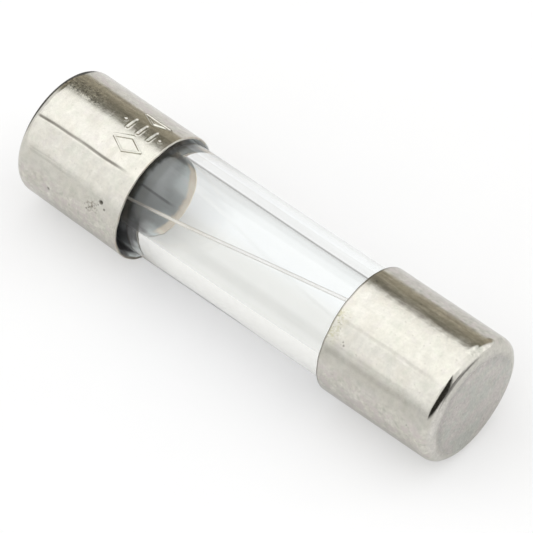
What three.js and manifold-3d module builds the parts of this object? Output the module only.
// Miniature glass cartridge fuse, 5 x 20 mm format.
//
// A clear glass tube carries a pressed, nickel-plated cap on each end. One fuse wire runs
// corner to corner through the bore, hooks over each end of the tube and is held in a shallow
// pool of solder on the floor of each cap.
//
// Frame: the fuse's axis is X, +X runs towards the plain cap, +Z is up, and the origin is at
// the middle of the fuse on its axis. Millimetres.
//
// Profiles are lists of [radius, x]. Those of the caps and solder are drawn for the +X end.

import * as THREE from 'three';
import { mergeVertices } from 'three/addons/utils/BufferGeometryUtils.js';
import Module from 'manifold-3d';

const wasm = await Module();
wasm.setup();

// ---- driving dimensions -------------------------------------------------------------------

const OVERALL_LENGTH = 20; // face to face over both caps
const CAP_DIAMETER = 5.2; // the barrel a fuse clip grips
const CAP_LENGTH = 5.2; // closed end to mouth
const CAP_WALL = 0.19; // pressed brass sheet
const CAP_FLOOR = 0.25; // the closed end is a little thicker than the barrel
const SHOULDER_RADIUS = 0.42; // outside, between barrel and closed end
const INNER_CORNER_RADIUS = 0.22; // inside, between barrel and closed end
const MOUTH_CHAMFER = 0.04; // broken edges of the mouth
const MARKED_CAP_TAPER = 0.035; // how much smaller in radius the marked cap is at its closed end

const TUBE_DIAMETER = 4.6;
const TUBE_BORE = 3.25;
const TUBE_LENGTH = 18.6;
const TUBE_EDGE_RADIUS = 0.14; // fire-polished ends

const WIRE_DIAMETER = 0.14;
const WIRE_CLEARANCE = 0.02; // between the wire and the glass it bends round
const WIRE_HOOK_RADIUS = 2.12; // how far out the hooked end reaches over the end of the tube
const WIRE_DIRECTION = THREE.MathUtils.degToRad(70); // turn about X from +Y to the +X end's hook

const FIT_GAP = 0.012; // clearance between solder and what it wets
const CHANNEL_GAP = 0.015; // clearance between the wire and the solder cast around it

// Facets around each round piece, and steps along each arc of a profile.
const ROUND_FACETS = 64; // caps and tube
const SOLDER_FACETS = 48;
const WIRE_SIDES = 12;
const SHOULDER_STEPS = 5;
const CORNER_STEPS = 3; // inside corner of a cap, and the solder that fills it
const TUBE_EDGE_STEPS = 3;
const WIRE_BEND_STEPS = 6;

// ---- derived ------------------------------------------------------------------------------

const CAP_FACE_X = OVERALL_LENGTH / 2;
const CAP_FLOOR_X = CAP_FACE_X - CAP_FLOOR;
const CAP_RADIUS = CAP_DIAMETER / 2;
const CAP_INNER_RADIUS = CAP_RADIUS - CAP_WALL;
const TUBE_RADIUS = TUBE_DIAMETER / 2;
const BORE_RADIUS = TUBE_BORE / 2;
const TUBE_END_X = TUBE_LENGTH / 2;

// Centre of the tube's rounded inner edge.
const BORE_EDGE_RADIUS = BORE_RADIUS + TUBE_EDGE_RADIUS;
const TUBE_EDGE_X = TUBE_END_X - TUBE_EDGE_RADIUS;

// ---- geometry helpers ---------------------------------------------------------------------

// Profile points of an arc, end points included. Degrees run from the radius towards +X.
function arc(centreRadius, centreX, radius, from, to, steps) {
  return Array.from({ length: steps + 1 }, (_, i) => {
    const angle = THREE.MathUtils.degToRad(from + ((to - from) * i) / steps);
    return [centreRadius + radius * Math.cos(angle), centreX + radius * Math.sin(angle)];
  });
}

function signedVolume(geometry) {
  const { position } = geometry.attributes;
  const corners = [new THREE.Vector3(), new THREE.Vector3(), new THREE.Vector3()];
  const [a, b, c] = corners;
  let sum = 0;
  for (let i = 0; i < geometry.index.count; i += 3) {
    corners.forEach((corner, k) => {
      corner.fromBufferAttribute(position, geometry.index.getX(i + k));
    });
    sum += a.dot(b.cross(c)) / 6;
  }
  return sum;
}

// Merges vertices, drops collapsed triangles and turns the faces outwards.
function closed(geometry) {
  geometry.deleteAttribute('normal');
  geometry.deleteAttribute('uv');
  const merged = mergeVertices(geometry, 1e-5);
  const index = merged.index.array;
  const kept = [];
  for (let i = 0; i < index.length; i += 3) {
    const [a, b, c] = [index[i], index[i + 1], index[i + 2]];
    if (a !== b && b !== c && c !== a) kept.push(a, b, c);
  }
  merged.setIndex(kept);
  if (signedVolume(merged) < 0) {
    for (let i = 0; i < kept.length; i += 3) {
      [kept[i + 1], kept[i + 2]] = [kept[i + 2], kept[i + 1]];
    }
    merged.setIndex(kept);
  }
  return merged;
}

// A closed solid of revolution about X.
function turned(profile, facets) {
  const points = profile.map(([radius, x]) => new THREE.Vector2(radius, x));
  const geometry = new THREE.LatheGeometry(points, facets);
  geometry.rotateZ(-Math.PI / 2); // the lathe's +Y becomes +X
  return closed(geometry);
}

// Moves a piece drawn for the +X end to the -X end, where the marked cap is.
function atMarkedEnd(geometry) {
  return geometry.rotateZ(Math.PI);
}

function toManifold(geometry) {
  const mesh = new wasm.Mesh({
    numProp: 3,
    vertProperties: new Float32Array(geometry.attributes.position.array),
    triVerts: new Uint32Array(geometry.index.array),
  });
  return new wasm.Manifold(mesh);
}

function fromManifold(solid) {
  const mesh = solid.getMesh();
  const positions = new Float32Array(mesh.vertProperties);
  const geometry = new THREE.BufferGeometry();
  geometry.setAttribute('position', new THREE.BufferAttribute(positions, 3));
  geometry.setIndex(new THREE.BufferAttribute(new Uint32Array(mesh.triVerts), 1));
  return geometry;
}

// ---- end caps -----------------------------------------------------------------------------

// A drawn cup: flat closed end, rounded shoulder, barrel, broken mouth.
// `taper` is how much the closed end is smaller in radius than the mouth.
function capGeometry(taper) {
  const mouthX = CAP_FACE_X - CAP_LENGTH;
  const outerBase = CAP_RADIUS - taper;
  const cornerRadius = outerBase - CAP_WALL - INNER_CORNER_RADIUS;
  const cornerX = CAP_FLOOR_X - INNER_CORNER_RADIUS;
  const shoulderRadius = outerBase - SHOULDER_RADIUS;
  const shoulderX = CAP_FACE_X - SHOULDER_RADIUS;
  const profile = [
    [0, CAP_FLOOR_X],
    ...arc(cornerRadius, cornerX, INNER_CORNER_RADIUS, 90, 0, CORNER_STEPS),
    [CAP_INNER_RADIUS, mouthX + MOUTH_CHAMFER],
    [CAP_INNER_RADIUS + MOUTH_CHAMFER, mouthX],
    [CAP_RADIUS - MOUTH_CHAMFER, mouthX],
    [CAP_RADIUS, mouthX + MOUTH_CHAMFER],
    ...arc(shoulderRadius, shoulderX, SHOULDER_RADIUS, 0, 90, SHOULDER_STEPS),
    [0, CAP_FACE_X],
  ];
  return turned(profile, ROUND_FACETS);
}

// ---- glass tube ---------------------------------------------------------------------------

function tubeGeometry() {
  const outerEdgeRadius = TUBE_RADIUS - TUBE_EDGE_RADIUS;
  // Rounded edges in order round the wall's section: centre radius, centre x, start angle.
  const edges = [
    [outerEdgeRadius, TUBE_EDGE_X, 0],
    [BORE_EDGE_RADIUS, TUBE_EDGE_X, 90],
    [BORE_EDGE_RADIUS, -TUBE_EDGE_X, 180],
    [outerEdgeRadius, -TUBE_EDGE_X, 270],
  ];
  const profile = edges.flatMap(([radius, x, start]) =>
    arc(radius, x, TUBE_EDGE_RADIUS, start, start + 90, TUBE_EDGE_STEPS),
  );
  profile.push(profile[0]); // back to the start, to close the ring
  return turned(profile, ROUND_FACETS);
}

// ---- fuse wire ----------------------------------------------------------------------------

// The wire lies in one plane through X: the way its +X hook points, and the plane's normal.
const hookDirection = new THREE.Vector3(0, Math.cos(WIRE_DIRECTION), Math.sin(WIRE_DIRECTION));
const wireNormal = new THREE.Vector3(0, -Math.sin(WIRE_DIRECTION), Math.cos(WIRE_DIRECTION));

// The wire's centre line: hooked over one end of the tube, bent round the tube's edge, straight
// through the bore from one side to the other, and hooked over the far end on the opposite side.
function wirePath(hookRadius) {
  const bend = TUBE_EDGE_RADIUS + WIRE_DIAMETER / 2 + WIRE_CLEARANCE;
  const hookX = TUBE_EDGE_X + bend;
  // Slope of the straight run from the axis.
  const lean = THREE.MathUtils.radToDeg(Math.atan2(BORE_EDGE_RADIUS - bend, TUBE_EDGE_X));
  const half = [
    [hookRadius, hookX],
    [(hookRadius + BORE_EDGE_RADIUS) / 2, hookX],
    ...arc(BORE_EDGE_RADIUS, TUBE_EDGE_X, bend, 90, 180 - lean, WIRE_BEND_STEPS),
  ].map(([radius, x]) => new THREE.Vector3(x, 0, 0).addScaledVector(hookDirection, radius));
  return [...half, ...half.map((point) => point.clone().negate()).reverse()];
}

// Rings of vertices round each point of a path in the wire's plane, with mitred joints.
function barRings(path, radius) {
  const runs = path.slice(1).map((point, i) => point.clone().sub(path[i]).normalize());
  return path.flatMap((point, i) => {
    const before = runs[Math.max(i - 1, 0)];
    const after = runs[Math.min(i, runs.length - 1)];
    const along = before.clone().add(after).normalize();
    const across = new THREE.Vector3().crossVectors(wireNormal, along).normalize();
    const mitredRadius = radius / along.dot(after); // keeps the bar's width through the joint
    return Array.from({ length: WIRE_SIDES }, (_, k) => {
      const angle = (2 * Math.PI * k) / WIRE_SIDES;
      return point
        .clone()
        .addScaledVector(across, mitredRadius * Math.cos(angle))
        .addScaledVector(wireNormal, radius * Math.sin(angle));
    });
  });
}

// Triangles along the sides of a bar and over its two flat ends.
function barTriangles(ringCount) {
  const triangles = [];
  for (let i = 0; i + 1 < ringCount; i++) {
    for (let k = 0; k < WIRE_SIDES; k++) {
      const here = i * WIRE_SIDES + k;
      const beside = i * WIRE_SIDES + ((k + 1) % WIRE_SIDES);
      triangles.push(here, beside, here + WIRE_SIDES);
      triangles.push(beside, beside + WIRE_SIDES, here + WIRE_SIDES);
    }
  }
  const last = (ringCount - 1) * WIRE_SIDES;
  for (let k = 1; k + 1 < WIRE_SIDES; k++) {
    triangles.push(0, k + 1, k);
    triangles.push(last, last + k, last + k + 1);
  }
  return triangles;
}

// The wire, or with a `gap`, the channel that clears it by that much all round.
function wireGeometry(gap = 0) {
  const path = wirePath(WIRE_HOOK_RADIUS + gap);
  const geometry = new THREE.BufferGeometry();
  geometry.setFromPoints(barRings(path, WIRE_DIAMETER / 2 + gap));
  geometry.setIndex(barTriangles(path.length));
  return closed(geometry);
}

// ---- solder -------------------------------------------------------------------------------

const SOLDER_DEPTH = 0.3; // pool thickness on the cap's floor, around the middle
const SOLDER_CENTRE_DIP = 0.02; // how much thinner the pool is on the axis
const SOLDER_RISE = 0.42; // how far the solder climbs the bore from the end of the tube
const SOLDER_LAP = 0.06; // how far it laps the outside of the tube
const SOLDER_LAP_GAP = FIT_GAP * 1.5; // its clearance there

// Solder against the bore: [inset from the bore, fraction of SOLDER_RISE].
const BORE_FILLET = [
  [0, 1],
  [0.06, 0.7],
  [0.17, 0.36],
  [0.36, 0.08],
];

// Pool surface inside the fillet: [inset from the bore, thickness beyond SOLDER_DEPTH].
const POOL_SURFACE = [
  [0.66, 0.06],
  [1.1, 0],
];

// A pool on the floor of the cap that the end of the tube sits in, risen against the bore.
function poolGeometry(taper) {
  const floorX = CAP_FLOOR_X - FIT_GAP;
  const surfaceX = floorX - SOLDER_DEPTH;
  const outer = CAP_INNER_RADIUS - taper - FIT_GAP;
  const corner = INNER_CORNER_RADIUS;
  const lapRadius = TUBE_RADIUS + SOLDER_LAP_GAP;
  const tubeEndX = TUBE_END_X + FIT_GAP;
  const boreRadius = BORE_RADIUS - FIT_GAP;
  const profile = [
    [0, floorX],
    ...arc(outer - corner, floorX - corner, corner, 90, 0, CORNER_STEPS),
    [outer, tubeEndX - SOLDER_LAP],
    [lapRadius, tubeEndX - SOLDER_LAP],
    [lapRadius, tubeEndX],
    [boreRadius, tubeEndX],
    ...BORE_FILLET.map(([inset, rise]) => [boreRadius - inset, tubeEndX - SOLDER_RISE * rise]),
    ...POOL_SURFACE.map(([inset, extra]) => [boreRadius - inset, surfaceX - extra]),
    [0, surfaceX + SOLDER_CENTRE_DIP],
  ];
  return turned(profile, SOLDER_FACETS);
}

// The solder is cast around the wire's hooked end, so the wire's channel is cut out of it.
function castAroundWire(pool) {
  return fromManifold(toManifold(pool).subtract(toManifold(wireGeometry(CHANNEL_GAP))));
}

// ---- materials ----------------------------------------------------------------------------

function metal(color, roughness) {
  return new THREE.MeshStandardMaterial({ color, metalness: 1, roughness });
}

const nickel = () => metal(0xd8d4c8, 0.3);
const wireMetal = () => metal(0xcfc8b6, 0.25);
const solderMetal = () => metal(0xb4b6b8, 0.4);

function glass() {
  return new THREE.MeshStandardMaterial({
    color: 0xf2f6f6,
    metalness: 0,
    roughness: 0.05,
    transparent: true,
    opacity: 0.3,
  });
}

// ---- assembly -----------------------------------------------------------------------------

function part(name, geometry, material) {
  geometry.computeVertexNormals();
  const mesh = new THREE.Mesh(geometry, material);
  mesh.name = name;
  return mesh;
}

const markedCap = atMarkedEnd(capGeometry(MARKED_CAP_TAPER));
const markedPool = atMarkedEnd(poolGeometry(MARKED_CAP_TAPER));

const group = new THREE.Group();
group.name = 'cartridge_fuse';
group.add(
  part('glass_tube', tubeGeometry(), glass()),
  part('end_cap_marked', markedCap, nickel()),
  part('end_cap_plain', capGeometry(0), nickel()),
  part('fuse_wire', wireGeometry(), wireMetal()),
  part('solder_marked_end', castAroundWire(markedPool), solderMetal()),
  part('solder_plain_end', castAroundWire(poolGeometry(0)), solderMetal()),
);

export default group;
